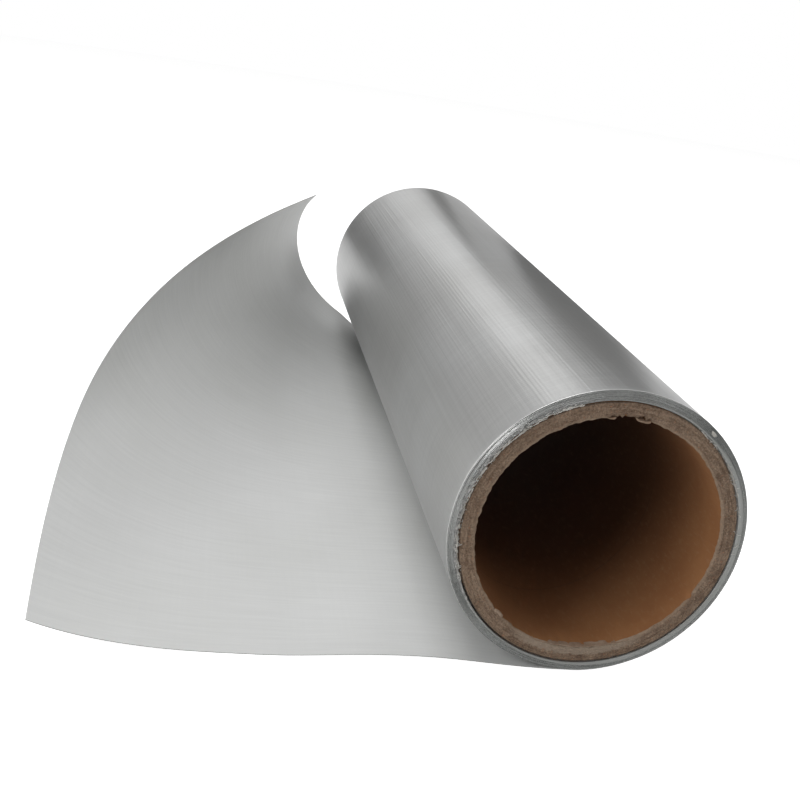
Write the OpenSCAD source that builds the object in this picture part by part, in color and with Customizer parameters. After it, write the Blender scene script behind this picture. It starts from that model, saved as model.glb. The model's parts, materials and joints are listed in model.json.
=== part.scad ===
// A wide roll of aluminium foil laminate on a paperboard core, lying on its side.
// The last stretch of the web is paid out flat to the left and curls up at its cut end.
// X runs across the roll, Y along its axis away from the near end, Z up.
// The origin is on the surface that the roll lies on, under the axis, at mid-length.

/* [Core] */
// Diameter of the bore through the core (a three inch core)
bore_d = 76.2; // [50:0.1:100]
// Thickness of the wound paperboard wall
core_wall = 5; // [3:0.1:8]
// Length by which the core stands out of the web at each end
core_proud = 1.2; // [0.9:0.1:4]
// Chamfer left by the saw on both edges of each core end
core_chamfer = 0.5; // [0.2:0.1:1]
// Air between the core and the first turn
core_fit = 0.15; // [0.1:0.05:0.4]

/* [Web] */
// Width of the foil web, along the roll
web_w = 342; // [200:1:500]
// Thickness of one layer of the laminate
web_t = 0.4; // [0.3:0.05:0.6]
// Turns of the web that are left on the core
turns = 9; // [5:1:20]
// Drift of each turn towards the near end, seen against the turn outside it
turn_drift = 0.1; // [0.05:0.01:0.14]
// Width of the flat spot on which the roll rests
flat_w = 8; // [4:0.5:12]

/* [Tail] */
// Length of the paid out tail along its near edge, from under the axis to the cut
tail_len = 164; // [130:1:220]
// Slant of the cut, as an angle away from the square
cut_slant = 5.1; // [0:0.1:8]
// Length of the straight part of the cut, from the near edge
cut_straight = 98; // [60:1:160]
// Radius by which the cut then sweeps back towards the far corner
cut_sweep_r = 484; // [400:1:900]
// Distance from the near corner of the roll's contact line to the bend line
bend_d = 92.4; // [80:0.1:110]
// Angle of the bend line to the axis of the roll
bend_angle = 21.8; // [10:0.1:26]
// Radius of the curl where it is tightest
curl_r = 37.4; // [34:0.1:60]
// Length over which the curl tightens to that radius
curl_ramp = 147; // [100:1:200]
// Exponent of the tightening, 1 for an even rate
curl_rate = 0.88; // [0.7:0.01:1.4]
// Height of the low hump that the sheet has between the roll and the bend
hump_h = 2.1; // [0:0.1:4]
// Length over which the sheet leaves the roll before it takes up the curl
leave_len = 45; // [35:1:60]

/* [Hidden] */

$fn = 120;

core_r = bore_d / 2 + core_wall;
wind_r = core_r + core_fit;
roll_r = wind_r + turns * web_t;
flat_depth = roll_r - sqrt(roll_r * roll_r - flat_w * flat_w / 4);
axis_z = roll_r - flat_depth;

// The spiral is drawn as half turns, whose centres lie a quarter of a layer below and above the axis.
right_half = 0;
left_half = 1;

// Outer radius of layer k on the right or the left half, layer 0 being the outermost
function layer_r(k, half) = roll_r - web_t / 4 - k * web_t - half * web_t / 2;

// How far layer k has drifted towards the near end
function drift(k, half) = turn_drift * (k + half / 2);

// Section of a half turn, with a step at each layer on both ends
stepped = turns - 1;
throat_r = wind_r - 2 * web_t;
function near_steps(half) = [
    for (k = [0:stepped - 1])
        for (r = [layer_r(k, half), k == stepped - 1 ? throat_r : layer_r(k + 1, half)])
            [r, -web_w / 2 - drift(k, half)]
];
function far_steps(half) = [
    for (k = [stepped - 1:-1:0])
        for (r = [k == stepped - 1 ? throat_r : layer_r(k + 1, half), layer_r(k, half)])
            [r, web_w / 2 - drift(k, half)]
];

// Smooth step from 0 to 1
function clip01(x) = min(1, max(0, x));
function ease(x) = clip01(x) * clip01(x) * (3 - 2 * clip01(x));

// The tail is bent about rulings that slant across it. Flat position is [u, v], with u to the left of
// the contact line and v along the web from its near edge.
across = [-cos(bend_angle), sin(bend_angle)];
ruling = [sin(bend_angle), cos(bend_angle)];

// Turn of the sheet, in degrees, at distance d past the bend line
full_turn = curl_ramp / curl_r / (curl_rate + 1);
function turned(d) = 180 / PI * (d <= 0 ? 0
    : d < curl_ramp ? full_turn * pow(d / curl_ramp, curl_rate + 1)
    : full_turn + (d - curl_ramp) / curl_r);

// Run and rise of the curl, added up along the sheet
curl_step = 2;
curl_n = ceil((tail_len + web_w) / curl_step);
curl = [
    for (i = 0, x = 0, z = 0; i <= curl_n;
         x = x + curl_step * cos(turned((i + 0.5) * curl_step)),
         z = z + curl_step * sin(turned((i + 0.5) * curl_step)),
         i = i + 1) [x, z]
];
function curl_at(d) = d <= 0 ? [d, 0]
    : let (i = floor(d / curl_step), f = d / curl_step - i) curl[i] * (1 - f) + curl[i + 1] * f;

// Length of the tail at distance v from the near edge
function cut_u(v) = tail_len + v * tan(cut_slant) - pow(max(0, v - cut_straight), 2) / (2 * cut_sweep_r);

// Distance from the contact line to the bend line, and the hump between them
function bend_u(v) = max(0, (bend_d - v * sin(bend_angle)) / cos(bend_angle));
function hump(u, v) = bend_u(v) < leave_len ? 0
    : hump_h * (bend_u(v) - leave_len) / (bend_u(0) - leave_len)
      * pow(sin(180 * clip01((u - lap) / (bend_u(v) - lap))), 2);

// Length over which the sheet is flat on both sides of the contact line
lap = 3;

// Point of the sheet at [u, v], at height h above its lower face
function sheet(u, v, h) =
    let (
        at = [-u, v],
        d = at * across - bend_d,
        c = curl_at(d),
        taken = ease((u - lap) / (leave_len - lap)),
        plan = (at * ruling) * ruling + (c[0] + bend_d) * across,
        a = turned(d) * taken
    )
    [plan[0] - h * sin(a) * across[0],
     plan[1] - h * sin(a) * across[1] - web_w / 2,
     c[1] * taken + hump(u, v) + h * cos(a)];

// Rows run along u and columns along v
tail_rows = 44;
tail_cols = 20;
function row_u(i, v) = i == 0 ? -lap : lap + (cut_u(v) - lap) * (i - 1) / (tail_rows - 1);
tail_points = [
    for (h = [0, web_t])
        for (i = [0:tail_rows])
            for (j = [0:tail_cols])
                let (v = web_w * j / tail_cols) sheet(row_u(i, v), v, h)
];
function at_grid(i, j, top) = (top * (tail_rows + 1) + i) * (tail_cols + 1) + j;
function two(a, b, c, d) = [[a, b, c], [a, c, d]];
tail_faces = [
    for (i = [0:tail_rows - 1])
        for (j = [0:tail_cols - 1])
            each concat(
                two(at_grid(i, j, 1), at_grid(i + 1, j, 1), at_grid(i + 1, j + 1, 1), at_grid(i, j + 1, 1)),
                two(at_grid(i, j, 0), at_grid(i, j + 1, 0), at_grid(i + 1, j + 1, 0), at_grid(i + 1, j, 0))
            ),
    for (i = [0:tail_rows - 1])
        each concat(
            two(at_grid(i, 0, 0), at_grid(i + 1, 0, 0), at_grid(i + 1, 0, 1), at_grid(i, 0, 1)),
            two(at_grid(i, tail_cols, 0), at_grid(i, tail_cols, 1),
                at_grid(i + 1, tail_cols, 1), at_grid(i + 1, tail_cols, 0))
        ),
    for (j = [0:tail_cols - 1])
        each concat(
            two(at_grid(0, j, 0), at_grid(0, j, 1), at_grid(0, j + 1, 1), at_grid(0, j + 1, 0)),
            two(at_grid(tail_rows, j, 0), at_grid(tail_rows, j + 1, 0),
                at_grid(tail_rows, j + 1, 1), at_grid(tail_rows, j, 1))
        )
];

// Lays a shape that was drawn along Z along the axis of the roll
module along_axis() {
    translate([0, 0, axis_z])
        rotate([-90, 0, 0])
            children();
}

// One half of the wound web, whose angles run from +X down towards the ground
module half_turns(half) {
    centre = web_t / 4 * (half == right_half ? 1 : -1);
    along_axis()
        translate([0, centre, 0])
            rotate_extrude(angle = 180, start = half == right_half ? -90 : 90)
                polygon(concat(near_steps(half), far_steps(half)));
}

// The board tube, with a small chamfer on both edges of each end
module core() {
    half_len = web_w / 2 + core_proud;
    inner = bore_d / 2;
    c = core_chamfer;
    color("#7b6652")
        along_axis()
            rotate_extrude()
                polygon([
                    [inner + c, -half_len], [core_r - c, -half_len], [core_r, -half_len + c],
                    [core_r, half_len - c], [core_r - c, half_len], [inner + c, half_len],
                    [inner, half_len - c], [inner, -half_len + c]
                ]);
}

// All the turns and the loose tail, as the one sheet that they are
module foil_web() {
    below = 2;
    color("#b4b6b6") {
        difference() {
            union() {
                half_turns(right_half);
                half_turns(left_half);
            }
            along_axis()
                cylinder(h = 2 * web_w, r = wind_r, center = true);
            translate([-roll_r, -web_w, -below])
                cube([2 * roll_r, 2 * web_w, below]);
        }
        polyhedron(points = tail_points, faces = tail_faces, convexity = 6);
    }
}

core();
foil_web();
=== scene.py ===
# %% [markdown]
# # A wide roll of aluminium foil laminate on a board core
# The object is one long sheet. Most of it is wound on a paperboard tube, and the last stretch is paid out
# flat to the left, where it curls up towards its cut end. The sheet has a woven backing that prints
# through the metal, so the foil is satin and not a mirror.
#
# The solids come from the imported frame. This lesson dresses them: it winds a thin sheet where the plain
# web stands, cuts a worn board tube where the plain core stands, and gives both their finish.

# %% Load the frame
import json
import math
import random

import bmesh
import bpy
import numpy as np
from mathutils import Euler, Matrix, Vector, noise


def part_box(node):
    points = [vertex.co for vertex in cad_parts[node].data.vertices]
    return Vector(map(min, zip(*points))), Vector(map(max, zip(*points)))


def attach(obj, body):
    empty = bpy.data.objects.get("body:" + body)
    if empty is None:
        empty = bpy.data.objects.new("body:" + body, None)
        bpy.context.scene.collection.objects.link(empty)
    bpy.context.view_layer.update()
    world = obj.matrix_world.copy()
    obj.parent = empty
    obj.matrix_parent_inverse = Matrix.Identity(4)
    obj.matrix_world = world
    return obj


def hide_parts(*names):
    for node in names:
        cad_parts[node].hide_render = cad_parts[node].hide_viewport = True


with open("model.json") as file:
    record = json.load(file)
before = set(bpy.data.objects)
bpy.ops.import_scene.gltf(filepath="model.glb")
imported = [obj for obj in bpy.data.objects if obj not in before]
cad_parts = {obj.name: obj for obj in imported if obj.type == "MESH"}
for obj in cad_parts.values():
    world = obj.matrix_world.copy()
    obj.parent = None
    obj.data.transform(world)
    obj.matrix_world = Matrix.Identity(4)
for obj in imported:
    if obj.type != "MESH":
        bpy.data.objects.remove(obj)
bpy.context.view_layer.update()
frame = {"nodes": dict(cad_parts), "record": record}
print("nodes:", ", ".join(sorted(frame["nodes"])))

# %% [markdown]
# ## Sizes
# Nothing may drift away from the solids, so every place is worked out from the frame's boxes and from the
# few driving sizes of the sheet: how long the loose tail is, where it bends and how it is cut. Lengths are
# written in millimetres and turned into metres at once.

# %% Driving sizes
MM = 0.001
core_low, core_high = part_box("core")
_, web_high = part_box("foil_web")
mounts = {mount["name"]: mount for mount in frame["record"]["mounts"]}
axis_z = (core_low.z + core_high.z) / 2
core_r = (core_high.x - core_low.x) / 2
core_end = core_high.y
bore_r = mounts["core_bore"]["dims"]["r_mm"] * MM
web_end = web_high.y
web_w = 2 * web_end
layer_t = 0.4 * MM
roll_r = web_high.x + layer_t / 4
sheet_t = 0.2 * MM
print("core radius %.2f mm, roll radius %.2f mm, web %.0f mm wide" % (core_r / MM, roll_r / MM, web_w / MM))

tail_len = 164 * MM
cut_slant = math.radians(5.1)
cut_straight = 98 * MM
cut_sweep_r = 484 * MM
bend_d = 92.4 * MM
bend_angle = math.radians(21.8)
curl_r = 37.4 * MM
curl_ramp = 147 * MM
curl_rate = 0.88
hump_h = 2.1 * MM
leave_len = 45 * MM
lap = 3 * MM


def ease(x):
    """A smooth step from 0 to 1."""
    x = min(1.0, max(0.0, x))
    return x * x * (3 - 2 * x)


def wander(x, y, z=0.0, seed=0.0):
    """Smooth noise between -1 and 1."""
    return noise.noise(Vector((x + seed, y + 2 * seed, z + 3 * seed)))


# %% [markdown]
# ## The camera
# The camera stands in front of the near end, to the left of the roll and above it, and is tilted a little
# about its own axis. Its place and turn were fitted to the roll's two end circles and to the tail's edges.


# %% Camera
def add_object(name, data):
    """An object that stands in the scene."""
    made = bpy.data.objects.new(name, data)
    bpy.context.collection.objects.link(made)
    return made


camera_at = Vector((-124.8, -454.4, 183.0)) * MM
camera_turn = Euler([math.radians(angle) for angle in (70.84, -8.66, -8.61)])
camera = add_object("camera", bpy.data.cameras.new("camera"))
camera.data.lens = 49.76
camera.data.sensor_width = 36
camera.data.clip_start = 0.01
camera.location = camera_at
camera.rotation_euler = camera_turn
bpy.context.scene.camera = camera
bpy.context.scene.view_settings.view_transform = "Standard"
print("camera at", [round(c, 3) for c in camera.location])

# %% [markdown]
# ## Helpers for materials
# A material is a small tree of nodes. One helper adds a node, sets its options and fills its inputs, and an
# input that is given another node's output is linked to it. That keeps each finish to a few lines that
# read like a recipe.


# %% Node helpers
def fill_socket(tree, socket, value):
    """Links an input to another node's output, or sets it to a value."""
    if isinstance(value, bpy.types.NodeSocket):
        tree.links.new(value, socket)
    else:
        socket.default_value = value


def fill_shader(tree, shader, **inputs):
    """Fills a shader's inputs by name, with _ for a space."""
    for name, value in inputs.items():
        fill_socket(tree, shader.inputs[name.replace("_", " ")], value)


def add_node(tree, kind, options=None, **inputs):
    """Adds a node, sets its options, and fills or links its inputs by name, with _ for a space."""
    made = tree.nodes.new(kind)
    for key, value in (options or {}).items():
        setattr(made, key, value)
    for key, value in inputs.items():
        if key.startswith("at"):
            socket = made.inputs[int(key[2:])]
        else:
            socket = made.inputs[key.replace("_", " ")]
        fill_socket(tree, socket, value)
    return made


def new_material(name):
    """An empty material with its shader, and the tree that they stand in."""
    material = bpy.data.materials.new(name)
    material.use_nodes = True
    tree = material.node_tree
    return material, tree, tree.nodes["Principled BSDF"]


def math_node(tree, operation, first, second=0.0):
    """One step of arithmetic on a value."""
    return add_node(tree, "ShaderNodeMath", {"operation": operation}, at0=first, at1=second).outputs[0]


def noise_on(tree, vector, scale, detail=2.0, rough=0.5, stretch=(1, 1, 1)):
    """Noise with its own scale along each direction of the vector, where stretch says so."""
    placed = add_node(tree, "ShaderNodeMapping", Vector=vector, Scale=stretch)
    made = add_node(tree, "ShaderNodeTexNoise", Vector=placed.outputs[0], Scale=scale, Detail=detail,
                    Roughness=rough)
    return made.outputs["Fac"]


def ramp(tree, value, low, high, to_low=0.0, to_high=1.0):
    """Takes the range low to high onto another range, and holds it there."""
    return add_node(tree, "ShaderNodeMapRange", {"clamp": True}, Value=value, From_Min=low, From_Max=high,
                    To_Min=to_low, To_Max=to_high).outputs[0]


def blend_colour(tree, factor, first, second):
    """Goes from the first colour to the second as the factor goes from 0 to 1."""
    made = add_node(tree, "ShaderNodeMix", {"data_type": "RGBA"}, at0=factor, at6=first, at7=second)
    return made.outputs[2]


def scale_colour(tree, colour, factor):
    """Makes a colour brighter or darker by a factor."""
    made = add_node(tree, "ShaderNodeVectorMath", {"operation": "SCALE"}, at0=colour, Scale=factor)
    return made.outputs[0]


def bump_node(tree, height, distance, strength):
    """A normal that is tilted as the height changes."""
    made = add_node(tree, "ShaderNodeBump", Height=height, Distance=distance, Strength=strength)
    return made.outputs[0]


def object_place(tree):
    """The place of a point on its object, in metres."""
    return add_node(tree, "ShaderNodeTexCoord").outputs["Object"]


# %% [markdown]
# ## The foil
# The metal face is satin. What shows from a step away is the print of the woven backing, fine lines along
# the axis where the sheet has been pressed on the roll, and patches of short wrinkles that run round it.
# All of these follow the sheet and not the room, so they read a UV map that holds the flat sheet in metres.
# The weave is small, so it is bump. Colour and roughness wander a little, because a sheet that has been
# handled is never even.
#
# The tail shows the sheet's inner face, which is paler, duller and almost free of lines along the axis. It
# is the same recipe with other numbers.

# %% Foil finish
foil_colour = (0.76, 0.765, 0.76, 1)
foil_dull = (0.69, 0.69, 0.68, 1)
matt_colour = (0.68, 0.685, 0.68, 1)
matt_dull = (0.635, 0.64, 0.63, 1)
weave_pitch = 1.3 * MM


def foil_material(name, bright, dull, rough_low, rough_high, metallic, axial=1.0, crossing=1.0):
    """Satin foil over a weave. axial and crossing say how deep the lines along and across the roll are."""
    material, tree, shader = new_material(name)
    sheet = add_node(tree, "ShaderNodeUVMap", {"uv_map": "web"}).outputs[0]
    wave_scale = 2 * math.pi / (20 * weave_pitch)
    warp = add_node(tree, "ShaderNodeTexWave", {"bands_direction": "X"}, Vector=sheet, Scale=wave_scale,
                    Distortion=1.2, Detail=1.0, Detail_Scale=0.4)
    weft = add_node(tree, "ShaderNodeTexWave", {"bands_direction": "Y"}, Vector=sheet, Scale=wave_scale,
                    Distortion=1.5, Detail=1.0, Detail_Scale=0.4)
    warp_shows = ramp(tree, noise_on(tree, sheet, 1, 2, stretch=(240, 11, 1)), 0.35, 0.68)
    weft_shows = ramp(tree, noise_on(tree, sheet, 1, 2, stretch=(30, 40, 1)), 0.40, 0.66, 0.15, 1.0)
    lines = noise_on(tree, sheet, 1, 3, 0.6, stretch=(820, 6, 1))
    lines_wide = noise_on(tree, sheet, 1, 2, stretch=(170, 2.5, 1))
    wrinkles = noise_on(tree, sheet, 1, 3, 0.6, stretch=(35, 620, 1))
    wrinkled = ramp(tree, noise_on(tree, sheet, 22, 2), 0.54, 0.68)
    grain = noise_on(tree, sheet, 2600, 2)
    # Each pattern, where it shows and how high it stands
    patterns = ((warp.outputs["Fac"], warp_shows, 1.1 * axial),
                (weft.outputs["Fac"], weft_shows, 1.0 * crossing),
                (lines, 1.0, 4.5 * axial),
                (lines_wide, 1.0, 7.0 * axial),
                (wrinkles, wrinkled, 6.0 * crossing))
    height = math_node(tree, "MULTIPLY", grain, 0.5)
    for pattern, shows, depth in patterns:
        centred = math_node(tree, "SUBTRACT", pattern, 0.5)
        shown = math_node(tree, "MULTIPLY", centred, shows)
        height = math_node(tree, "ADD", height, math_node(tree, "MULTIPLY", shown, depth))
    bump = bump_node(tree, height, 0.02 * MM, 1.0)
    patches = noise_on(tree, sheet, 12, 3, 0.5)
    colour = blend_colour(tree, ramp(tree, patches, 0.35, 0.65), bright, dull)
    streaks_along = ramp(tree, lines, 0.3, 0.7, 1 - 0.035 * axial, 1 + 0.035 * axial)
    streaks_across = ramp(tree, wrinkles, 0.3, 0.7, 1 - 0.03 * crossing, 1 + 0.03 * crossing)
    colour = scale_colour(tree, colour, math_node(tree, "MULTIPLY", streaks_along, streaks_across))
    roughness = ramp(tree, patches, 0.3, 0.7, rough_low, rough_high)
    fill_shader(tree, shader, Base_Color=colour, Roughness=roughness, Normal=bump, Metallic=metallic,
                Specular_Tint=(0.45, 0.45, 0.45, 1))
    return material


foil = foil_material("foil", foil_colour, foil_dull, 0.277, 0.295, 0.85)
foil_matt = foil_material("foil_matt", matt_colour, matt_dull, 0.40, 0.48, 0.3, axial=0.2)
print("made", foil.name, "and", foil_matt.name)

# %% [markdown]
# ## The cut edges of the foil
# A slitter cuts the web to width, and at the ends of the roll hundreds of such edges lie side by side. They
# are darker than the face, because light is caught between them, and streaky, because each turn stands a
# hair prouder or lower than the next. The turns themselves are modelled further on, so this finish only
# adds a duller metal, a dark colour that is partly painted shade of the light caught between the turns, and
# the speckle of the torn fibres.


# %% Cut edge finish
def edge_material():
    """The slit edge of the laminate, dull metal with specks, its dark tone partly painted shade."""
    material, tree, shader = new_material("foil_edge")
    place = object_place(tree)
    specks = noise_on(tree, place, 1900, 3, 0.7)
    broad = noise_on(tree, place, 90, 2)
    # The dark tone is partly painted shade of the light caught between the turns.
    colour = blend_colour(tree, ramp(tree, specks, 0.4, 0.7), (0.140, 0.146, 0.140, 1),
                          (0.29, 0.295, 0.285, 1))
    colour = scale_colour(tree, colour, ramp(tree, broad, 0.3, 0.7, 0.85, 1.15))
    bump = bump_node(tree, specks, 0.05 * MM, 0.8)
    fill_shader(tree, shader, Base_Color=colour, Normal=bump, Metallic=0.6, Roughness=0.5)
    return material


foil_edge = edge_material()
print("made", foil_edge.name)

# %% [markdown]
# ## The board
# The core is wound from strips of brown board. Its cut end is rough and grey-brown, with darker and paler
# plies in rings and specks of fibre, and its outer rim is painted dark as the shade of the crevice next to
# the foil. The wall of the bore is smoother and warmer, is painted darker away from the mouth as the shade
# deep inside the bore, and has the seam of the inner strip running round it as a helix. Both read Object
# coordinates, centred on the axis.


# %% Board finishes
def round_place(tree):
    """The distance from the axis, and the place along and round it, for patterns in rings."""
    centred = add_node(tree, "ShaderNodeMapping", Vector=object_place(tree),
                       Location=(0, 0, -axis_z)).outputs[0]
    apart = add_node(tree, "ShaderNodeSeparateXYZ", Vector=centred)
    flat = add_node(tree, "ShaderNodeCombineXYZ", X=apart.outputs[0], Z=apart.outputs[2]).outputs[0]
    radius = add_node(tree, "ShaderNodeVectorMath", {"operation": "LENGTH"}, at0=flat).outputs["Value"]
    angle = math_node(tree, "ARCTAN2", apart.outputs[0], apart.outputs[2])
    return centred, radius, apart.outputs[1], angle


def board_end_material():
    """The sawn end of the board tube."""
    material, tree, shader = new_material("board_end")
    place, radius, _, angle = round_place(tree)
    ring = add_node(tree, "ShaderNodeCombineXYZ", X=radius, Y=math_node(tree, "MULTIPLY", angle, 0.004))
    plies = noise_on(tree, ring.outputs[0], 1150, 2, 0.6)
    fibres = noise_on(tree, place, 1300, 4, 0.7)
    clumps = noise_on(tree, place, 260, 3, 0.6)
    colour = blend_colour(tree, ramp(tree, plies, 0.38, 0.62), (0.222, 0.146, 0.096, 1),
                          (0.315, 0.222, 0.154, 1))
    colour = blend_colour(tree, ramp(tree, clumps, 0.45, 0.68, 0, 0.75), colour, (0.150, 0.092, 0.058, 1))
    colour = blend_colour(tree, ramp(tree, fibres, 0.56, 0.74, 0, 0.8), colour, (0.48, 0.37, 0.27, 1))
    specks = noise_on(tree, place, 1000, 3, 0.6)
    colour = blend_colour(tree, ramp(tree, specks, 0.62, 0.72, 0, 0.6), colour, (0.42, 0.175, 0.085, 1))
    grain = noise_on(tree, place, 1700, 3, 0.7)
    colour = scale_colour(tree, colour, ramp(tree, grain, 0.32, 0.68, 0.62, 1.38))
    lip = ramp(tree, radius, bore_r + 0.3 * MM, bore_r + 1.1 * MM, 0.45, 0.0)
    colour = blend_colour(tree, lip, colour, (0.42, 0.31, 0.22, 1))
    ragged = ramp(tree, specks, 0.3, 0.7, -0.5 * MM, 0.5 * MM)
    torn_radius = math_node(tree, "ADD", radius, ragged)
    inner_ply = ramp(tree, torn_radius, bore_r + 2.2 * MM, bore_r + 2.8 * MM, 0.75, 0.0)
    below = ramp(tree, math_node(tree, "ABSOLUTE", angle), math.radians(146), math.radians(157))
    colour = blend_colour(tree, math_node(tree, "MULTIPLY", inner_ply, below), colour, (0.43, 0.34, 0.26, 1))
    # Painted shade of the crevice between the board and the foil darkens the outer rim, least on the upper
    # right.
    rim = ramp(tree, radius, core_r - 0.50 * MM, core_r - 0.15 * MM, 0.0, 0.85)
    off_right = math_node(tree, "ABSOLUTE", math_node(tree, "SUBTRACT", angle, math.radians(45)))
    crevice_shade_strength = ramp(tree, off_right, math.radians(38), math.radians(65), 0.2, 1.0)
    rim = math_node(tree, "MULTIPLY", rim, crevice_shade_strength)
    colour = blend_colour(tree, rim, colour, (0.045, 0.033, 0.024, 1))
    rough = math_node(tree, "ADD", fibres, grain)
    height = math_node(tree, "ADD", rough, math_node(tree, "MULTIPLY", plies, 1.3))
    bump = bump_node(tree, height, 0.45 * MM, 1.0)
    fill_shader(tree, shader, Base_Color=colour, Normal=bump, Roughness=0.9)
    return material


def board_wall_material():
    """The face of the board, with the helical seam of the inner strip."""
    material, tree, shader = new_material("board_wall")
    place, _, along, angle = round_place(tree)
    strip_w = 68 * MM
    seam_w = 0.006
    helix = math_node(tree, "ADD", math_node(tree, "DIVIDE", along, strip_w),
                      math_node(tree, "MULTIPLY", angle, 1 / (2 * math.pi)))
    from_seam = math_node(tree, "SUBTRACT", math_node(tree, "FRACT", helix), 0.5)
    seam = ramp(tree, math_node(tree, "ABSOLUTE", from_seam), 0.0, seam_w, 0.35, 0.0)
    cloud = noise_on(tree, place, 45, 4, 0.6)
    fibres = noise_on(tree, place, 900, 3, 0.6, stretch=(1, 0.35, 1))
    colour = blend_colour(tree, ramp(tree, cloud, 0.35, 0.65), (0.285, 0.122, 0.044, 1),
                          (0.340, 0.156, 0.060, 1))
    # Painted shade: the bore's wall is darkened deeper inside, away from the mouth.
    inside = ramp(tree, math_node(tree, "ABSOLUTE", along), core_end - 60 * MM, core_end - 6 * MM, 0.85, 0.0)
    colour = blend_colour(tree, inside, colour, (0.10, 0.040, 0.015, 1))
    colour = blend_colour(tree, ramp(tree, fibres, 0.54, 0.74, 0, 0.16), colour, (0.44, 0.27, 0.15, 1))
    colour = blend_colour(tree, seam, colour, (0.08, 0.04, 0.02, 1))
    height = math_node(tree, "SUBTRACT", fibres, math_node(tree, "MULTIPLY", seam, 2.0))
    bump = bump_node(tree, height, 0.1 * MM, 0.7)
    fill_shader(tree, shader, Base_Color=colour, Normal=bump, Roughness=0.8)
    return material


board_end = board_end_material()
board_wall = board_wall_material()
print("made", board_end.name, "and", board_wall.name)

# %% [markdown]
# ## Where the sheet lies
# A flat sheet is easy to make: it is a grid. What gives the roll its form is a rule that says where each
# point of the flat sheet goes. On the roll that is a spiral, which starts at the ground, climbs on the right
# and comes down on the left. The loose tail lies flat up to a slanting bend line and then curls up, ever
# tighter, about rulings that are parallel to that line.


# %% The spiral
def wound_radius(turn_at):
    """Radius of the sheet's outer face after that many turns from the ground."""
    first = min(turn_at, 1.0)
    return roll_r - layer_t * first - sheet_t * (turn_at - first)


# Flutes round the roll, their depth in millimetres and how much they change along flute_span metres
flutes = ((5.0, 0.10, 0.35), (11.0, 0.05, 0.6))
flute_span = 0.3


def flute(angle, along):
    """How far the sheet has sunk between its long shallow flutes, which run along the roll."""
    depth = 0.0
    for count, size, drift in flutes:
        round_x = math.cos(angle) * count / 2
        round_y = math.sin(angle) * count / 2
        depth += size * (1 + wander(round_x, round_y, along * drift / flute_span)) / 2
    return depth * MM


def on_roll(turn_at, along):
    """Point of the outer face on the roll. along is the distance from the near edge."""
    angle = 2 * math.pi * turn_at
    radius = wound_radius(turn_at) - flute(angle, along)
    x = radius * math.sin(angle)
    z = axis_z - radius * math.cos(angle)
    return Vector((x, along - web_end, max(z, 0.0)))


# %% The curl of the tail
curl_step = 1 * MM
curl_steps = int((tail_len + web_w) / curl_step) + 2
full_turn = curl_ramp / curl_r / (curl_rate + 1)


def turned(d):
    """Turn of the sheet, in radians, at distance d past the bend line."""
    if d <= 0:
        return 0.0
    if d < curl_ramp:
        return full_turn * (d / curl_ramp) ** (curl_rate + 1)
    return full_turn + (d - curl_ramp) / curl_r


mid_turns = [turned((i + 0.5) * curl_step) for i in range(curl_steps)]
curl_run = np.concatenate([[0], np.cumsum(np.cos(mid_turns)) * curl_step])
curl_rise = np.concatenate([[0], np.cumsum(np.sin(mid_turns)) * curl_step])
curl_at = np.arange(curl_steps + 1) * curl_step
across = Vector((-math.cos(bend_angle), math.sin(bend_angle)))
ruling = Vector((math.sin(bend_angle), math.cos(bend_angle)))


def cut_at(along):
    """Length of the tail at a distance from the near edge."""
    swept = max(0.0, along - cut_straight)
    return tail_len + along * math.tan(cut_slant) - swept * swept / (2 * cut_sweep_r)


def hump(out, along):
    """Height of the low hump between the roll and the bend."""
    bend = max(0.0, (bend_d - along * math.sin(bend_angle)) / math.cos(bend_angle))
    if bend < leave_len:
        return 0.0
    share = (bend - leave_len) / (bend_d / math.cos(bend_angle) - leave_len)
    return hump_h * share * math.sin(math.pi * min(1.0, max(0.0, (out - lap) / (bend - lap)))) ** 2


def on_tail(out, along):
    """Point of the lower face of the tail, at a distance out from under the axis."""
    flat = Vector((-out, along))
    past = flat.dot(across) - bend_d
    run = float(np.interp(past, curl_at, curl_run)) if past > 0 else past
    rise = float(np.interp(past, curl_at, curl_rise)) if past > 0 else 0.0
    plan = ruling * flat.dot(ruling) + across * (run + bend_d)
    taken = ease((out - lap) / (leave_len - lap))
    return Vector((plan.x, plan.y - web_end, rise * taken + hump(out, along)))


far_corner = Vector((-cut_at(web_w), web_w)).dot(across) - bend_d
print("the tail turns by up to %.0f degrees" % math.degrees(turned(far_corner)))

# %% [markdown]
# ## The outer turn and the tail
# The outer turn and the tail are one piece of sheet, so they are one grid: its first rows go round the roll
# and the rest run out to the cut. The grid keeps its flat place as a UV map before it is bent. A Solidify
# modifier gives it its thickness and puts the cut edge finish on the rim. The last millimetre at both
# sides is rolled in a little, which is what catches the light as a bright line along the end of the roll.
# The last row before the cut is only a tenth of a millimetre long, so that the rim's shading stays at the
# edge.

# %% Grid helpers
edge_band = 1.2 * MM
edge_share = 0.05
edge_rolled = 0.10 * MM


def across_web(share):
    """Distance from the near edge for a share of the grid's columns, with more of them at both edges."""
    if share < edge_share:
        return edge_band * share / edge_share
    if share > 1 - edge_share:
        return web_w - edge_band * (1 - share) / edge_share
    return edge_band + (web_w - 2 * edge_band) * (share - edge_share) / (1 - 2 * edge_share)


def edge_lip(along):
    """How far the sheet is rolled in at its edges."""
    near = max(0.0, 1 - along / edge_band)
    far = max(0.0, 1 - (web_w - along) / edge_band)
    return edge_rolled * (near ** 2 + far ** 2)


def flat_grid(rows, columns):
    """A unit grid in a bmesh, whose corners are 0 and 1, and its UV layer."""
    mesh = bmesh.new()
    bmesh.ops.create_grid(mesh, x_segments=rows, y_segments=columns, size=0.5)
    bmesh.ops.translate(mesh, vec=(0.5, 0.5, 0), verts=mesh.verts)
    return mesh, mesh.loops.layers.uv.new("web")


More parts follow.
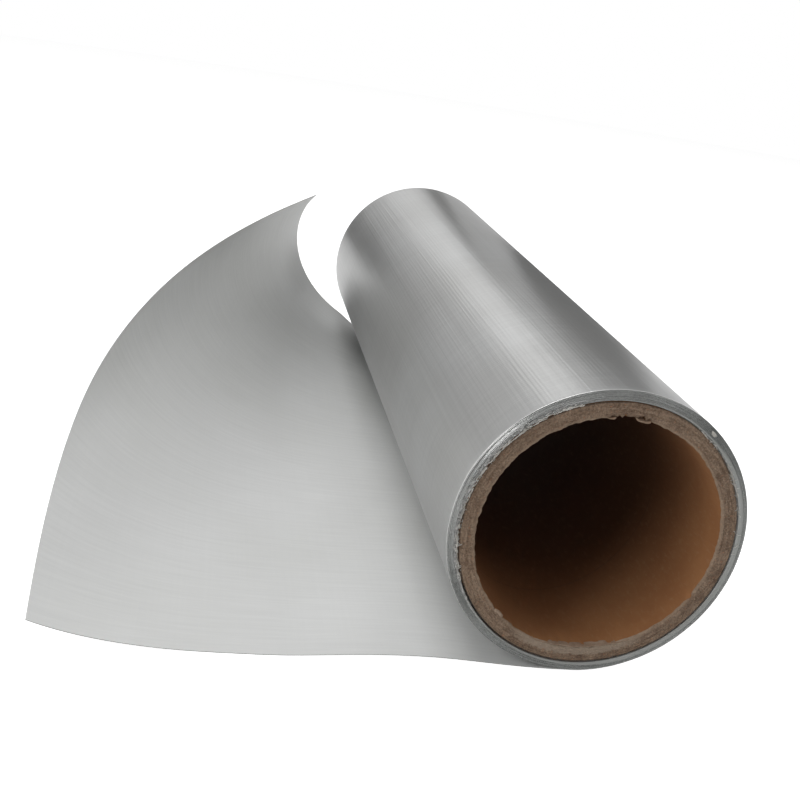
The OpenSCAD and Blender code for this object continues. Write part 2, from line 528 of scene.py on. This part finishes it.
def lay_flat_map(mesh, uv, flat):
    """Writes the points' flat places to the UV map, and turns the faces outwards."""
    for face in mesh.faces:
        for loop in face.loops:
            loop[uv].uv = flat[loop.vert]
    mesh.normal_update()
    top = max(mesh.faces, key=lambda face: face.calc_center_median().z)
    if top.normal.z < 0:
        bmesh.ops.reverse_faces(mesh, faces=mesh.faces)


def mesh_object(mesh, name, materials):
    """Turns a bmesh into an object."""
    data = bpy.data.meshes.new(name)
    mesh.to_mesh(data)
    mesh.free()
    for material in materials:
        data.materials.append(material)
    return add_object(name, data)


def finish_piece(mesh, name, materials):
    """Turns a bmesh into a smooth object that rides on the body."""
    piece = mesh_object(mesh, name, materials)
    for face in piece.data.polygons:
        face.use_smooth = True
    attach(piece, "root")
    return piece


def thicken(piece, thickness, inner=1, rim=2):
    """Gives a sheet its thickness on its inner side. inner and rim say which finishes those faces get."""
    solid = piece.modifiers.new("thickness", "SOLIDIFY")
    solid.thickness = thickness
    solid.offset = -1
    solid.material_offset = inner
    solid.material_offset_rim = rim


# %% Outer turn and tail
def make_outer_sheet():
    """The outermost turn and the loose tail, as one sheet."""
    rows_wound, rows_tail, columns = 190, 96, 104
    last_row = 0.12 * MM
    unevenness = 0.10 * MM
    lip_ends = 0.06
    mesh, uv = flat_grid(rows_wound + rows_tail, columns)
    wound_share = rows_wound / (rows_wound + rows_tail)
    flat = {}
    for vert in mesh.verts:
        along = across_web(vert.co.y)
        if vert.co.x < wound_share:
            turn_at = 1 - vert.co.x / wound_share
            place = on_roll(turn_at, along)
            inward = Vector((-math.sin(2 * math.pi * turn_at), 0, math.cos(2 * math.pi * turn_at)))
            place += inward * edge_lip(along) * ease(turn_at / lip_ends)
            out = -turn_at * 2 * math.pi * roll_r
        else:
            row = round((vert.co.x - wound_share) / (1 - wound_share) * rows_tail)
            out = (cut_at(along) - last_row) * min(1.0, row / (rows_tail - 1))
            out += last_row if row == rows_tail else 0.0
            place = on_tail(out, along)
            out_of_line = wander(out * 40, along * 14, seed=3)
            place.z += unevenness * ease(out / leave_len) * (1 + out_of_line)
        flat[vert] = (out, along)
        vert.co = place
    lay_flat_map(mesh, uv, flat)
    return finish_piece(mesh, "foil_outer", [foil, foil_matt, foil_edge])


outer_sheet = make_outer_sheet()
thicken(outer_sheet, sheet_t)
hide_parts("foil_web")
print("outer sheet:", len(outer_sheet.data.polygons), "faces")

# %% [markdown]
# ## The turns at the two ends
# Inside the outer turn only the edges of the sheet can be seen, as rings at both ends. The same sheet goes
# on winding inwards there. Between the ends it is never seen, so it has few columns and is sunk by a third
# of a millimetre to stay clear of the outer turn. Each turn's edge stands a little prouder or lower than its
# neighbour's, and that drifts slowly round the roll, so the ends show streaks and not circles drawn with a
# compass.
#
# The inner turns have crept towards the near end, and the innermost two stand back. That leaves a dark
# crevice round the board, widest at the lower left.

# %% Inner turns
inner_turns = 16
creep = 0.8 * MM
sunk_between = 0.3 * MM
crevice_turns = 2.4
lip_share = 0.4
# In degrees and millimetres
crevice_angles = (-180, -110, -27, 0, 90, 160, 180)
crevice_depths = (2.6, 2.6, 1.6, 0.9, 0.6, 1.4, 2.6)


def round_angle(place):
    """Angle about the axis, 0 at the top and 90 at the right, in degrees."""
    return math.degrees(math.atan2(place.x, place.z - axis_z))


def from_axis(place):
    """Distance of a point from the axis."""
    return math.hypot(place.x, place.z - axis_z)


def outward(angle):
    """Direction away from the axis at an angle in degrees."""
    return Vector((math.sin(math.radians(angle)), 0, math.cos(math.radians(angle))))


def edge_stagger(turn_at, side):
    """How far a turn's edge stands out of line at one end."""
    angle = 2 * math.pi * turn_at
    ring = math.floor(turn_at)
    slow = wander(ring * 0.83, math.cos(angle) * 0.8, math.sin(angle) * 0.8, seed=7 + side)
    clump = wander(ring * 0.31, math.cos(angle) * 1.6, math.sin(angle) * 1.6, seed=13 + side)
    fine = wander(math.cos(angle) * 60, math.sin(angle) * 60, ring, seed=21 + side)
    return (0.20 * slow + 0.16 * clump + 0.05 * fine) * MM


def make_inner_turns():
    """The turns under the outer one, seen from their edges."""
    steps = 132
    inset = [0.0, 0.35 * MM, 1.2 * MM, 9 * MM]
    stations = inset + [web_w - d for d in reversed(inset)]
    mesh, uv = flat_grid(inner_turns * steps, len(stations) - 1)
    flat = {}
    for vert in mesh.verts:
        share = vert.co.x
        turn_at = 1 + share * inner_turns
        column = round(vert.co.y * (len(stations) - 1))
        along = stations[column]
        angle = 2 * math.pi * turn_at
        place = on_roll(turn_at, along)
        near = max(0.0, 1 - along / inset[3])
        far = max(0.0, 1 - (web_w - along) / inset[3])
        place.y += edge_stagger(turn_at, 0) * near + edge_stagger(turn_at, 1) * far - creep * share
        inward = Vector((-math.sin(angle), 0, math.cos(angle)))
        between = ease((min(along, web_w - along) - inset[2]) / (inset[3] - inset[2]))
        place += inward * (edge_lip(along) * lip_share + sunk_between * between * (1 - share))
        if turn_at > 1 + inner_turns - crevice_turns:
            depth = float(np.interp(round_angle(place), crevice_angles, crevice_depths)) * MM
            place.y += depth * near
        flat[vert] = (-turn_at * 2 * math.pi * roll_r, along)
        vert.co = place
    lay_flat_map(mesh, uv, flat)
    return finish_piece(mesh, "foil_turns", [foil, foil_matt, foil_edge])


turns = make_inner_turns()
thicken(turns, 0.15 * MM)
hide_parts("foil_web")
print("inner turns:", len(turns.data.polygons), "faces")

# %% [markdown]
# ## The lip of the first turns
# Next to the core the first turns were pressed over by the winding chuck. On the right and below they form
# a smooth pale band, and on the upper left they are crushed to a ragged silver line. It is made as a bead: a
# short profile that is spun round the axis and then pushed about. Its width changes round the roll, and so
# does the depth of the crumple. The crushed part has a finish of its own, whose flecks carry painted glints
# and painted shade.


# %% Spin helpers
def spun(mesh, steps):
    """Spins all of a bmesh's points and edges once round the roll's axis."""
    bmesh.ops.spin(mesh, geom=mesh.verts[:] + mesh.edges[:], cent=(0, 0, axis_z), axis=(0, 1, 0),
                   angle=2 * math.pi, steps=steps, use_merge=True)
    bmesh.ops.remove_doubles(mesh, verts=mesh.verts, dist=0.001 * MM)


def profile(mesh, points):
    """A line of points (radius, y), drawn straight up from the axis."""
    line = [mesh.verts.new((0, y, axis_z + radius)) for radius, y in points]
    for first, second in zip(line, line[1:]):
        mesh.edges.new((first, second))
    return line


# %% Lip finishes
def crushed_material():
    """Foil that is crushed to flecks, some with a painted glint and some with painted shade of the next."""
    material, tree, shader = new_material("foil_crushed")
    place = object_place(tree)
    flecks = noise_on(tree, place, 1500, 3, 0.7)
    # The pale flecks are painted glints and the dark ones painted shade.
    colour = blend_colour(tree, ramp(tree, flecks, 0.44, 0.66), (0.15, 0.15, 0.145, 1),
                          (0.37, 0.365, 0.35, 1))
    bump = bump_node(tree, flecks, 0.10 * MM, 1.0)
    fill_shader(tree, shader, Base_Color=colour, Normal=bump, Metallic=0.7, Roughness=0.36)
    return material


lip_colour = (0.29, 0.295, 0.285, 1)
lip_dull = (0.23, 0.235, 0.225, 1)
foil_lip = foil_material("foil_lip", lip_colour, lip_dull, 0.42, 0.55, 0.6)
foil_crushed = crushed_material()
print("made", foil_lip.name, "and", foil_crushed.name)

# %% Lip of crushed turns
lip_inner = core_r + 0.32 * MM
lip_proud = 0.45 * MM
lip_swell = 0.35 * MM
# In degrees and millimetres
lip_angles = (-180, -150, -110, -60, -30, 0, 35, 60, 110, 160, 180)
lip_widths = (1.1, 0.7, 1.0, 1.3, 1.1, 0.5, 0.7, 1.7, 1.8, 1.6, 1.1)
crush_angles = (-180, -140, -112, -70, -30, 0, 60, 180)
crush_depths = (0.06, 0.14, 0.38, 0.42, 0.36, 0.10, 0.06, 0.06)
crushed_from = 0.22


def make_lip():
    """A bead of crushed foil round the core at the near end."""
    mesh = bmesh.new()
    count = 14
    points = []
    for i in range(count + 1):
        share = i / count
        swell = math.sin(math.pi * share) ** 0.5
        points.append((lip_inner + share * MM, -web_end - (lip_proud + lip_swell * swell)))
    profile(mesh, points)
    spun(mesh, 720)
    for vert in mesh.verts:
        angle = round_angle(vert.co)
        radius = from_axis(vert.co)
        share = (radius - lip_inner) / MM
        width = float(np.interp(angle, lip_angles, lip_widths)) * MM
        crush = float(np.interp(angle, crush_angles, crush_depths)) * MM
        rounded = outward(angle)
        coarse = wander(rounded.x * 45, rounded.z * 45, share * 1.6, seed=31)
        fine = wander(rounded.x * 120, rounded.z * 120, share * 3.5, seed=37)
        streak = wander(share * 11, rounded.x * 2, rounded.z * 2, seed=41)
        vert.co.y += crush * (0.8 * coarse + 0.6 * fine) + 0.11 * MM * streak
        new_radius = lip_inner + share * width + crush * 0.35 * coarse * (0.3 + share)
        vert.co.x = rounded.x * new_radius
        vert.co.z = axis_z + rounded.z * new_radius
    uv = mesh.loops.layers.uv.new("web")
    for face in mesh.faces:
        middle = face.calc_center_median()
        angle = round_angle(middle)
        ragged = 0.10 * wander(middle.x * 900, middle.z * 900, seed=43)
        if float(np.interp(angle, crush_angles, crush_depths)) > crushed_from + ragged:
            face.material_index = 1
        for loop in face.loops:
            loop[uv].uv = (from_axis(loop.vert.co), math.radians(round_angle(loop.vert.co)) * core_r)
    bmesh.ops.recalc_face_normals(mesh, faces=mesh.faces)
    if min(mesh.faces, key=lambda face: face.calc_center_median().y).normal.y > 0:
        bmesh.ops.reverse_faces(mesh, faces=mesh.faces)
    return finish_piece(mesh, "foil_lip", [foil_lip, foil_crushed])


lip = make_lip()
thicken(lip, 0.1 * MM, inner=0, rim=0)
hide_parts("foil_web")
print("lip:", len(lip.data.polygons), "faces")

# %% [markdown]
# ## The board tube
# The tube is a section that is spun round the axis: an outer wall, two sawn ends and the bore. The near end
# is worn, so its points are pushed about after the spin. The plies stand at slightly different heights, the
# inner lip is torn at the top and has a nick at the lower right.

# %% Core
ply_count = 6
torn_from, torn_to = -9, 13
nick_from, nick_to = 116.5, 120.5
step_depth, rough_depth, coarse_depth = 0.18, 0.20, 0.16


def end_points(sign):
    """The points of one sawn end, from the bore outwards, for the near (-1) or the far (1) end."""
    chamfer = 0.45 * MM
    wall = core_r - bore_r
    points = [(bore_r, sign * (core_end - 2.2 * chamfer)), (bore_r, sign * (core_end - chamfer)),
              (bore_r + 0.25 * chamfer, sign * (core_end - 0.4 * chamfer))]
    steps = 22
    for i in range(steps + 1):
        points.append((bore_r + chamfer + (wall - 2 * chamfer) * i / steps, sign * core_end))
    points.append((core_r - 0.25 * chamfer, sign * (core_end - 0.4 * chamfer)))
    points.append((core_r, sign * (core_end - chamfer)))
    return points


def window(angle, start, stop, soft):
    """1 between two angles and 0 outside, with soft ends."""
    middle, half = (start + stop) / 2, (stop - start) / 2
    off = abs((angle - middle + 180) % 360 - 180)
    return 1 - ease((off - half + soft) / soft)


def wear(vert):
    """Pushes a point of a sawn end about."""
    sign = -1 if vert.co.y < 0 else 1
    angle = round_angle(vert.co)
    radius = from_axis(vert.co)
    depth = core_end - abs(vert.co.y)
    out = outward(angle)
    at_end = 1 - ease(depth / (1.5 * MM))
    share = (radius - bore_r) / (core_r - bore_r)
    ply = math.floor(share * ply_count)
    step = wander(ply * 3.7, out.x * 0.7, out.z * 0.7, seed=51 + sign)
    rough = wander(out.x * 130, out.z * 130, share * 16, seed=53 + sign)
    coarse = wander(out.x * 24, out.z * 24, share * 3, seed=59 + sign)
    back = step_depth * (1 + step) + rough_depth * (1 + rough) + coarse_depth * (1 + coarse)
    back *= MM * at_end
    edge = wander(out.x * 18, out.z * 18, seed=61 + sign)
    inner = max(0.0, 1 - share / 0.16)
    radius += inner * (1 - ease(depth / (5 * MM))) * (0.42 * edge + 0.12 * rough) * MM
    if sign < 0:
        tear = wander(out.x * 42, out.z * 42, seed=67)
        torn = window(angle, torn_from, torn_to, 3) * max(0.0, 1 - share / 0.34)
        back += torn * at_end * (0.6 + 0.6 * tear) * MM
        radius += torn * (1 - ease(depth / (6 * MM))) * max(0.0, 0.45 + 1.4 * tear) * MM
        nick = window(angle, nick_from, nick_to, 1.5) * max(0.0, 1 - share / 0.2)
        radius += nick * (1 - ease(depth / (3 * MM))) * 0.7 * MM
    vert.co.x = out.x * radius
    vert.co.z = axis_z + out.z * radius
    vert.co.y -= sign * back


def make_core():
    """The board tube with its worn ends."""
    mesh = bmesh.new()
    near, far = end_points(-1), end_points(1)
    inside = [core_end - d * MM for d in (5, 10, 20, 45, 80, 120)]
    bore_line = [(bore_r, y) for y in inside] + [(bore_r, 0)] + [(bore_r, -y) for y in reversed(inside)]
    line = profile(mesh, near + list(reversed(far)) + bore_line)
    mesh.edges.new((line[-1], line[0]))
    spun(mesh, 540)
    for vert in mesh.verts:
        if core_end - abs(vert.co.y) < 12 * MM:
            wear(vert)
    bmesh.ops.recalc_face_normals(mesh, faces=mesh.faces)
    for face in mesh.faces:
        if abs(face.calc_center_median().y) > core_end - 1.6 * MM:
            face.material_index = 1
    return finish_piece(mesh, "core_board", [board_wall, board_end])


core = make_core()
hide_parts("core")
print("core:", len(core.data.polygons), "faces")

# %% [markdown]
# ## Loose board at the mouth
# Four scraps of the inner ply have come away: a pale tongue along the bottom, a small flap at the lower
# left, and two shreds that hang at the torn place on top. Each is a small grid that is bent to the bore. Its
# far edge stays in the wall, and its near edge stands off, with a ragged outline.


# %% Scraps of ply
def make_scrap(name, start, stop, depth, lift, ragged, seed, thick=0.28 * MM, taper=0.45):
    """A scrap of the inner ply between two angles, whose near edge stands off the bore by lift."""
    steps = max(10, int((stop - start) * 2.2))
    mesh, _ = flat_grid(steps, 12)
    for vert in mesh.verts:
        out = outward(start + (stop - start) * vert.co.x)
        to_end = max(0.0, math.sin(math.pi * vert.co.x)) ** taper
        along = vert.co.y
        torn = wander(out.x * 34, out.z * 34, seed=seed)
        torn += 0.6 * wander(out.x * 90, out.z * 90, seed=seed + 4)
        off = lift * to_end * along ** 1.6 * (1 + 0.5 * wander(out.x * 22, out.z * 22, along, seed=seed + 9))
        radius = bore_r - off + 0.25 * MM * (1 - to_end * ease(along * 3))
        reach = depth * (1 - along) + ragged * torn * along
        vert.co = Vector((out.x * radius, -core_end + 0.5 * MM + reach, axis_z + out.z * radius))
    bmesh.ops.recalc_face_normals(mesh, faces=mesh.faces)
    scrap = finish_piece(mesh, name, [board_ply])
    thicken(scrap, thick, inner=0, rim=0)
    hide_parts("core")
    return scrap


def ply_material():
    """The torn face of a ply, paler and more fibrous than the sawn end."""
    material, tree, shader = new_material("board_ply")
    place = object_place(tree)
    fibres = noise_on(tree, place, 1500, 4, 0.7)
    broad = noise_on(tree, place, 220, 3, 0.6)
    colour = blend_colour(tree, ramp(tree, broad, 0.35, 0.65), (0.255, 0.168, 0.110, 1),
                          (0.38, 0.28, 0.205, 1))
    colour = blend_colour(tree, ramp(tree, fibres, 0.55, 0.75, 0, 0.7), colour, (0.48, 0.38, 0.285, 1))
    bump = bump_node(tree, fibres, 0.3 * MM, 1.0)
    fill_shader(tree, shader, Base_Color=colour, Normal=bump, Roughness=0.9)
    return material


board_ply = ply_material()
scraps = [make_scrap("ply_tongue", 150, 203, 4 * MM, 0.45 * MM, 0.30 * MM, 71, taper=1.1),
          make_scrap("ply_flap", -139.5, -133.5, 1.8 * MM, 0.8 * MM, 0.2 * MM, 73, 0.9 * MM),
          make_scrap("ply_shred_left", -9, -5, 3 * MM, 0.4 * MM, 0.3 * MM, 75),
          make_scrap("ply_shred_right", 4, 11, 3 * MM, 0.55 * MM, 0.4 * MM, 77, 0.45 * MM)]
print("scraps:", len(scraps))

# %% [markdown]
# ## Fibres, slivers and chips
# The slitter leaves torn threads of the backing between the board and the first turns. Slivers of foil lie
# along the crushed lip, made bright by a near-white colour that is a painted glint, and a few flakes of foil
# and board sit on the ring. A thread or a sliver is a short curve with a round bevel, and all of them are
# one object. A flake is a small ball of faces that is flattened and pushed about.


# %% Finishes of fibres and slivers
def two_tone_material(name, tones, scale, spread, metallic, rough):
    """A finish that goes from one tone to another in patches. spread is half the range."""
    material, tree, shader = new_material(name)
    patches = noise_on(tree, object_place(tree), scale, 2)
    colour = blend_colour(tree, ramp(tree, patches, 0.5 - spread, 0.5 + spread), *tones)
    fill_shader(tree, shader, Base_Color=colour, Metallic=metallic, Roughness=rough)
    return material


fibre_tones = ((0.62, 0.60, 0.56, 1), (0.42, 0.40, 0.36, 1))
# The slivers' near-white tone is a painted glint of the foil.
sliver_glint_tones = ((0.95, 0.94, 0.91, 1), (0.60, 0.595, 0.57, 1))
fibre_pale = two_tone_material("fibre_pale", fibre_tones, 400, 0.15, 0.0, 0.6)
foil_sliver_glint = two_tone_material("foil_sliver_glint", sliver_glint_tones, 500, 0.10, 0.3, 0.35)
print("made", fibre_pale.name, "and", foil_sliver_glint.name)

# %% Fibres
# Tufts of threads: middle angle, spread and count
fibre_tufts = ((-97, 2.5, 10), (-107, 2.0, 10), (-86, 5, 6), (-55, 22, 9), (56, 4, 10),
               (62, 6, 8), (73, 3, 6), (88, 6, 5), (45, 8, 5))
# Bands of slivers: first and last angle, count, reach past the board (least, most, usual, in mm) and finish
sliver_bands = ((-114, -20, 210, (0.20, 0.95, 0.32), 1),
                (30, 66, 45, (-0.15, 0.45, 0.15), 0))


def add_threads(curve, draw):
    """Torn threads at the foot of the board, which start out towards the near end and then wander."""
    parts = 5
    foot = -web_end - 0.7 * MM
    for middle, spread, count in fibre_tufts:
        for _ in range(count):
            angle = math.radians(middle + draw.uniform(-spread, spread))
            radius = core_r + draw.uniform(-0.15, 0.55) * MM
            place = Vector((math.sin(angle) * radius, foot, axis_z + math.cos(angle) * radius))
            heading = Vector((draw.uniform(-1, 1), draw.uniform(-1.1, -0.3), draw.uniform(-1, 1)))
            heading.normalize()
            length = draw.uniform(0.7, 2.2) * MM
            spline = curve.splines.new("POLY")
            spline.points.add(parts)
            for point in spline.points:
                point.co = (*place, 1)
                heading.x += draw.uniform(-0.5, 0.5)
                heading.y += draw.uniform(-0.1, 0.5)
                heading.z += draw.uniform(-0.5, 0.5)
                place = place + heading.normalized() * length / parts


def add_slivers(curve, draw):
    """Slivers of foil that lie round the board, thin at both ends."""
    parts = 3
    for start, stop, count, reaches, finish in sliver_bands:
        for _ in range(count):
            angle = draw.uniform(start, stop)
            radius = core_r + draw.triangular(*reaches) * MM
            spline = curve.splines.new("POLY")
            spline.material_index = finish
            spline.points.add(parts)
            length = math.degrees(draw.uniform(0.4, 1.8) * MM / radius)
            for k, point in enumerate(spline.points):
                at = math.radians(angle + length * k / parts)
                reach = radius + draw.uniform(-0.12, 0.12) * MM
                depth = -web_end - draw.uniform(1.10, 1.40) * MM
                point.co = (math.sin(at) * reach, depth, axis_z + math.cos(at) * reach, 1)
                point.radius = draw.uniform(0.7, 1.9) if 0 < k < parts else 0.5


def make_fibres():
    """All the threads and slivers, as one object."""
    draw = random.Random(5)
    curve = bpy.data.curves.new("foil_fibres", "CURVE")
    curve.dimensions = "3D"
    curve.bevel_depth = 0.075 * MM
    curve.bevel_resolution = 1
    curve.use_fill_caps = True
    add_threads(curve, draw)
    add_slivers(curve, draw)
    fibres = add_object("foil_fibres", curve)
    curve.materials.append(fibre_pale)
    curve.materials.append(foil_sliver_glint)
    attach(fibres, "root")
    return fibres


fibres = make_fibres()
print("threads and slivers:", len(fibres.data.splines))

# %% Chips
# Name, angle, radius, how far it stands out, half lengths round, along and outwards (in mm), finish and seed
chip_list = (("ring_chip", 37.8, 45.1, -0.75, (1.0, 0.4, 0.55), fibre_pale, "foil", 81),
             ("ring_fleck", 62, 43.3, -0.5, (0.5, 0.3, 0.25), fibre_pale, "foil", 83),
             ("board_chip", 139.6, 37.9, 0.0, (0.7, 0.4, 0.35), board_ply, "board", 85),
             ("board_fleck", 73, 40.6, -0.2, (0.35, 0.2, 0.2), board_ply, "board", 87))


def make_chip(name, angle, radius, proud, size, material, slot, seed):
    """A flake on the near end."""
    mesh = bmesh.new()
    bmesh.ops.create_icosphere(mesh, subdivisions=3, radius=1)
    for vert in mesh.verts:
        vert.co *= 1 + 0.55 * wander(vert.co.x * 1.6, vert.co.y * 1.6, vert.co.z * 1.6, seed=seed)
    bmesh.ops.scale(mesh, vec=[length * MM for length in size], verts=mesh.verts)
    place = Vector((0, -core_end - proud * MM, radius * MM))
    bmesh.ops.translate(mesh, vec=place, verts=mesh.verts)
    turn = Matrix.Rotation(math.radians(angle), 3, "Y")
    bmesh.ops.rotate(mesh, cent=(0, 0, 0), matrix=turn, verts=mesh.verts)
    bmesh.ops.translate(mesh, vec=(0, 0, axis_z), verts=mesh.verts)
    return finish_piece(mesh, name, [material])


chips = [make_chip(*chip) for chip in chip_list]
print("chips:", len(chips))

# %% [markdown]
# ## The stage
# The floor is a wide pale disc. To the camera, and in reflections, it also gives off a little light of its
# own, so it reads as white paper while the shadow under the roll stays.
#
# Satin metal is only as lively as what it mirrors. Three dark cards and a grey one stand behind the roll,
# hidden from the camera. They put the dark patch on the left flank, the thin streak beside the bright band
# and the dark right flank.


# %% Stage
def seen_directly(tree):
    """1 for the rays that show the background, and 0 for the light that it would throw on the object."""
    path = add_node(tree, "ShaderNodeLightPath")
    seen = math_node(tree, "ADD", path.outputs["Is Camera Ray"], path.outputs["Is Glossy Ray"])
    seen = math_node(tree, "ADD", seen, path.outputs["Is Transmission Ray"])
    return math_node(tree, "MINIMUM", seen, 1.0)


def stage_object(mesh, name, material):
    """Turns a bmesh into an object with a single finish."""
    made = mesh_object(mesh, name, [material])
    return made


def floor_material():
    """Pale floor that the camera and reflections see nearly white."""
    material, tree, shader = new_material("floor")
    glow = math_node(tree, "MULTIPLY", seen_directly(tree), 0.68)
    fill_shader(tree, shader, Base_Color=(0.72, 0.72, 0.72, 1), Roughness=1.0, Specular_IOR_Level=0.0,
                Emission_Color=(1, 1, 1, 1), Emission_Strength=glow)
    return material


def make_floor():
    """The floor disc, a hair below the surface that the roll lies on."""
    mesh = bmesh.new()
    bmesh.ops.create_circle(mesh, cap_ends=True, segments=128, radius=2.5)
    bmesh.ops.translate(mesh, vec=(0, 0, -0.03 * MM), verts=mesh.verts)
    return stage_object(mesh, "floor", floor_material())


def card_material(name, **inputs):
    """A rough finish for a card."""
    material, tree, shader = new_material(name)
    fill_shader(tree, shader, Roughness=1.0, **inputs)
    return material


def make_card(name, material, centre, wide, tall, turn):
    """A card on edge, turned about Z, that only reflections see."""
    mesh = bmesh.new()
    bmesh.ops.create_grid(mesh, x_segments=1, y_segments=1, size=0.5)
    bmesh.ops.scale(mesh, vec=(wide, tall, 1), verts=mesh.verts)
    place = Matrix.Translation(centre) @ Matrix.Rotation(turn, 4, "Z") @ Matrix.Rotation(math.pi / 2, 4, "X")
    bmesh.ops.transform(mesh, matrix=place, verts=mesh.verts)
    card = stage_object(mesh, name, material)
    card.visible_camera = False
    card.visible_diffuse = False
    card.visible_shadow = False
    return card


floor = make_floor()
card_dark = card_material("card_dark", Base_Color=(0.03, 0.03, 0.028, 1))
card_grey = card_material("card_grey", Base_Color=(0, 0, 0, 1), Specular_IOR_Level=0.0,
                          Emission_Color=(1, 1, 1, 1), Emission_Strength=0.36)
make_card("card_right", card_dark, (0.2205, 0.40, 0.17), 0.145, 0.34, math.radians(-27))
make_card("card_strip", card_dark, (0.057, 0.40, 0.185), 0.026, 0.15, 0.0)
make_card("card_far_left", card_grey, (-0.30, 0.48, 0.105), 0.27, 0.19, math.radians(25))
make_card("card_left", card_dark, (-0.132, 0.46, 0.085), 0.095, 0.09, math.radians(25))
print("floor:", len(floor.data.polygons), "faces")

# %% [markdown]
# ## The light
# Satin metal shows the room. The room here is white near the horizon and greyer above. It shows whiter than
# it shines, so that the bore stays dark inside. Four soft boxes hang in it: a low one behind, which draws
# the long bright band along the roll, one steeply above on the left, which lights the tail, one in front on
# the left, for the end of the core, and one on the right, for the inner face of the curl.

# %% World
room_low, room_high = 1.0, 0.42
room_shine_low, room_shine_high = 0.16, 0.40


def make_world():
    """A plain room by direction, white to the camera and grey as a light."""
    world = bpy.data.worlds.new("room")
    world.use_nodes = True
    tree = world.node_tree
    tree.nodes.clear()
    direction = add_node(tree, "ShaderNodeTexCoord").outputs["Generated"]
    height = add_node(tree, "ShaderNodeSeparateXYZ", Vector=direction).outputs[2]
    start, stop = math.sin(math.radians(4)), math.sin(math.radians(12))
    shown = ramp(tree, height, start, stop, room_low, room_high)
    shown = math_node(tree, "MAXIMUM", shown, add_node(tree, "ShaderNodeLightPath").outputs["Is Camera Ray"])
    shines = ramp(tree, height, start, math.sin(math.radians(30)), room_shine_low, room_shine_high)
    seen = seen_directly(tree)
    level = add_node(tree, "ShaderNodeMix", {"data_type": "FLOAT"}, at0=seen, at2=shines, at3=shown)
    light = add_node(tree, "ShaderNodeBackground", Color=(1, 1, 1, 1), Strength=level.outputs[0])
    add_node(tree, "ShaderNodeOutputWorld", Surface=light.outputs[0])
    bpy.context.scene.world = world
    return world


room = make_world()
print("world:", room.name)


# %% Soft boxes
def soft_box(name, azimuth, elevation, distance, wide, tall, radiance):
    """A rectangular lamp that faces the roll. Azimuth 0 is behind the roll and 90 to its right."""
    lamp = bpy.data.lights.new(name, "AREA")
    lamp.shape = "RECTANGLE"
    lamp.size = wide
    lamp.size_y = tall
    lamp.energy = radiance * math.pi * wide * tall
    box = add_object(name, lamp)
    a, e = math.radians(azimuth), math.radians(elevation)
    aim = Vector((0, 0, 0.05))
    away = Vector((math.sin(a) * math.cos(e), math.cos(a) * math.cos(e), math.sin(e)))
    box.location = aim + away * distance
    box.rotation_euler = away.to_track_quat("Z", "Y").to_euler()
    box.visible_camera = False
    return box


soft_box("box_behind", 0, 21, 2.0, 0.52, 0.92, 0.72)
soft_box("box_left", 285, 74, 1.4, 0.8, 0.8, 4.75)
soft_box("box_front", 242, 28, 1.5, 0.9, 0.7, 3.7)
soft_box("box_right", 85, 40, 1.5, 0.8, 0.8, 2.3)
print("lamps:", len(bpy.data.lights))
